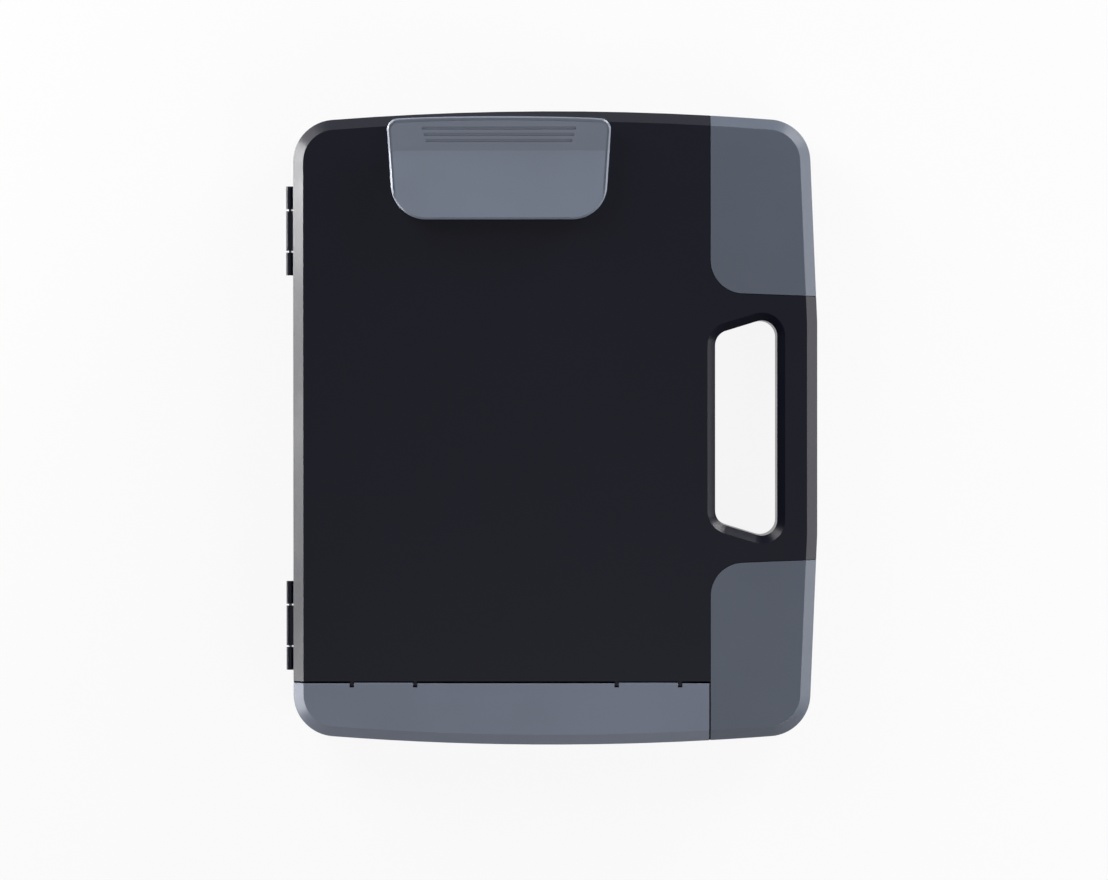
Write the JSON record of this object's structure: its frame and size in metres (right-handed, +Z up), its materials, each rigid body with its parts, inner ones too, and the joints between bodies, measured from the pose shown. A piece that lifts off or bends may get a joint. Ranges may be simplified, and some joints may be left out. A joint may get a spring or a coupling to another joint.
{
  "type": "document case",
  "caption": "Clipboard storage case for A4 paper with a hinged lid, spring clip, pen compartment door, corner bins and a hand hole.",
  "frame": {"origin": "bottom centre of the whole case, lying flat on its feet", "axes": "+Z up out of the lid, +Y along the case towards the clip, +X across it towards the hand hole"},
  "size_m": [0.307, 0.366, 0.062],
  "materials": {
    "black_plastic": "fine satin texture",
    "grey_plastic": "satin",
    "clip_plastic": "soft gloss",
    "steel": "zinc plated",
    "rubber": "matt"
  },
  "bodies": {
    "base": {"base_tray": "black_plastic", "hinge_pin_lower": "steel", "hinge_pin_upper": "steel", "latch_pin": "steel", "latch_spring": "steel", "foot_1": "rubber", "foot_2": "rubber", "foot_3": "rubber", "foot_4": "rubber"},
    "lid": {"lid_shell": "black_plastic", "top_corner_cover": "grey_plastic", "bottom_corner_cover": "grey_plastic", "door_pin_left": "steel", "door_pin_right": "steel", "clip_bracket": "steel", "clip_pin": "steel", "clip_rivets": "steel", "clip_spring_left": "steel", "clip_spring_right": "steel"},
    "door": {"pen_door": "grey_plastic"},
    "clip": {"clip_lever": "clip_plastic", "clip_jaw_pad": "rubber"},
    "latch": {"latch_rocker": "black_plastic"}
  },
  "joints": [
    {"name": "lid_hinge", "type": "hinge", "parent": "base", "child": "lid", "pos_m": [-0.1514, 0, 0.0365], "axis": [0, -1, 0], "range_deg": [0, 180]},
    {"name": "pen_door_hinge", "type": "hinge", "parent": "lid", "child": "door", "pos_m": [-0.0205, -0.148, 0.0445], "axis": [-1, 0, 0], "range_deg": [0, 92]},
    {"name": "clip_pivot", "type": "hinge", "parent": "lid", "child": "clip", "pos_m": [-0.0299, 0.156, 0.0505], "axis": [-1, 0, 0], "range_deg": [0, 20], "stiffness_Nm_per_rad": 0.8, "springref_deg": -28.65, "deforming": ["clip_spring_left", "clip_spring_right"]},
    {"name": "latch_press", "type": "hinge", "parent": "base", "child": "latch", "pos_m": [0.1508, 0, 0.0275], "axis": [0, 1, 0], "range_deg": [0, 15], "stiffness_Nm_per_rad": 0.05, "springref_deg": -11.46, "deforming": ["latch_spring"]}
  ]
}
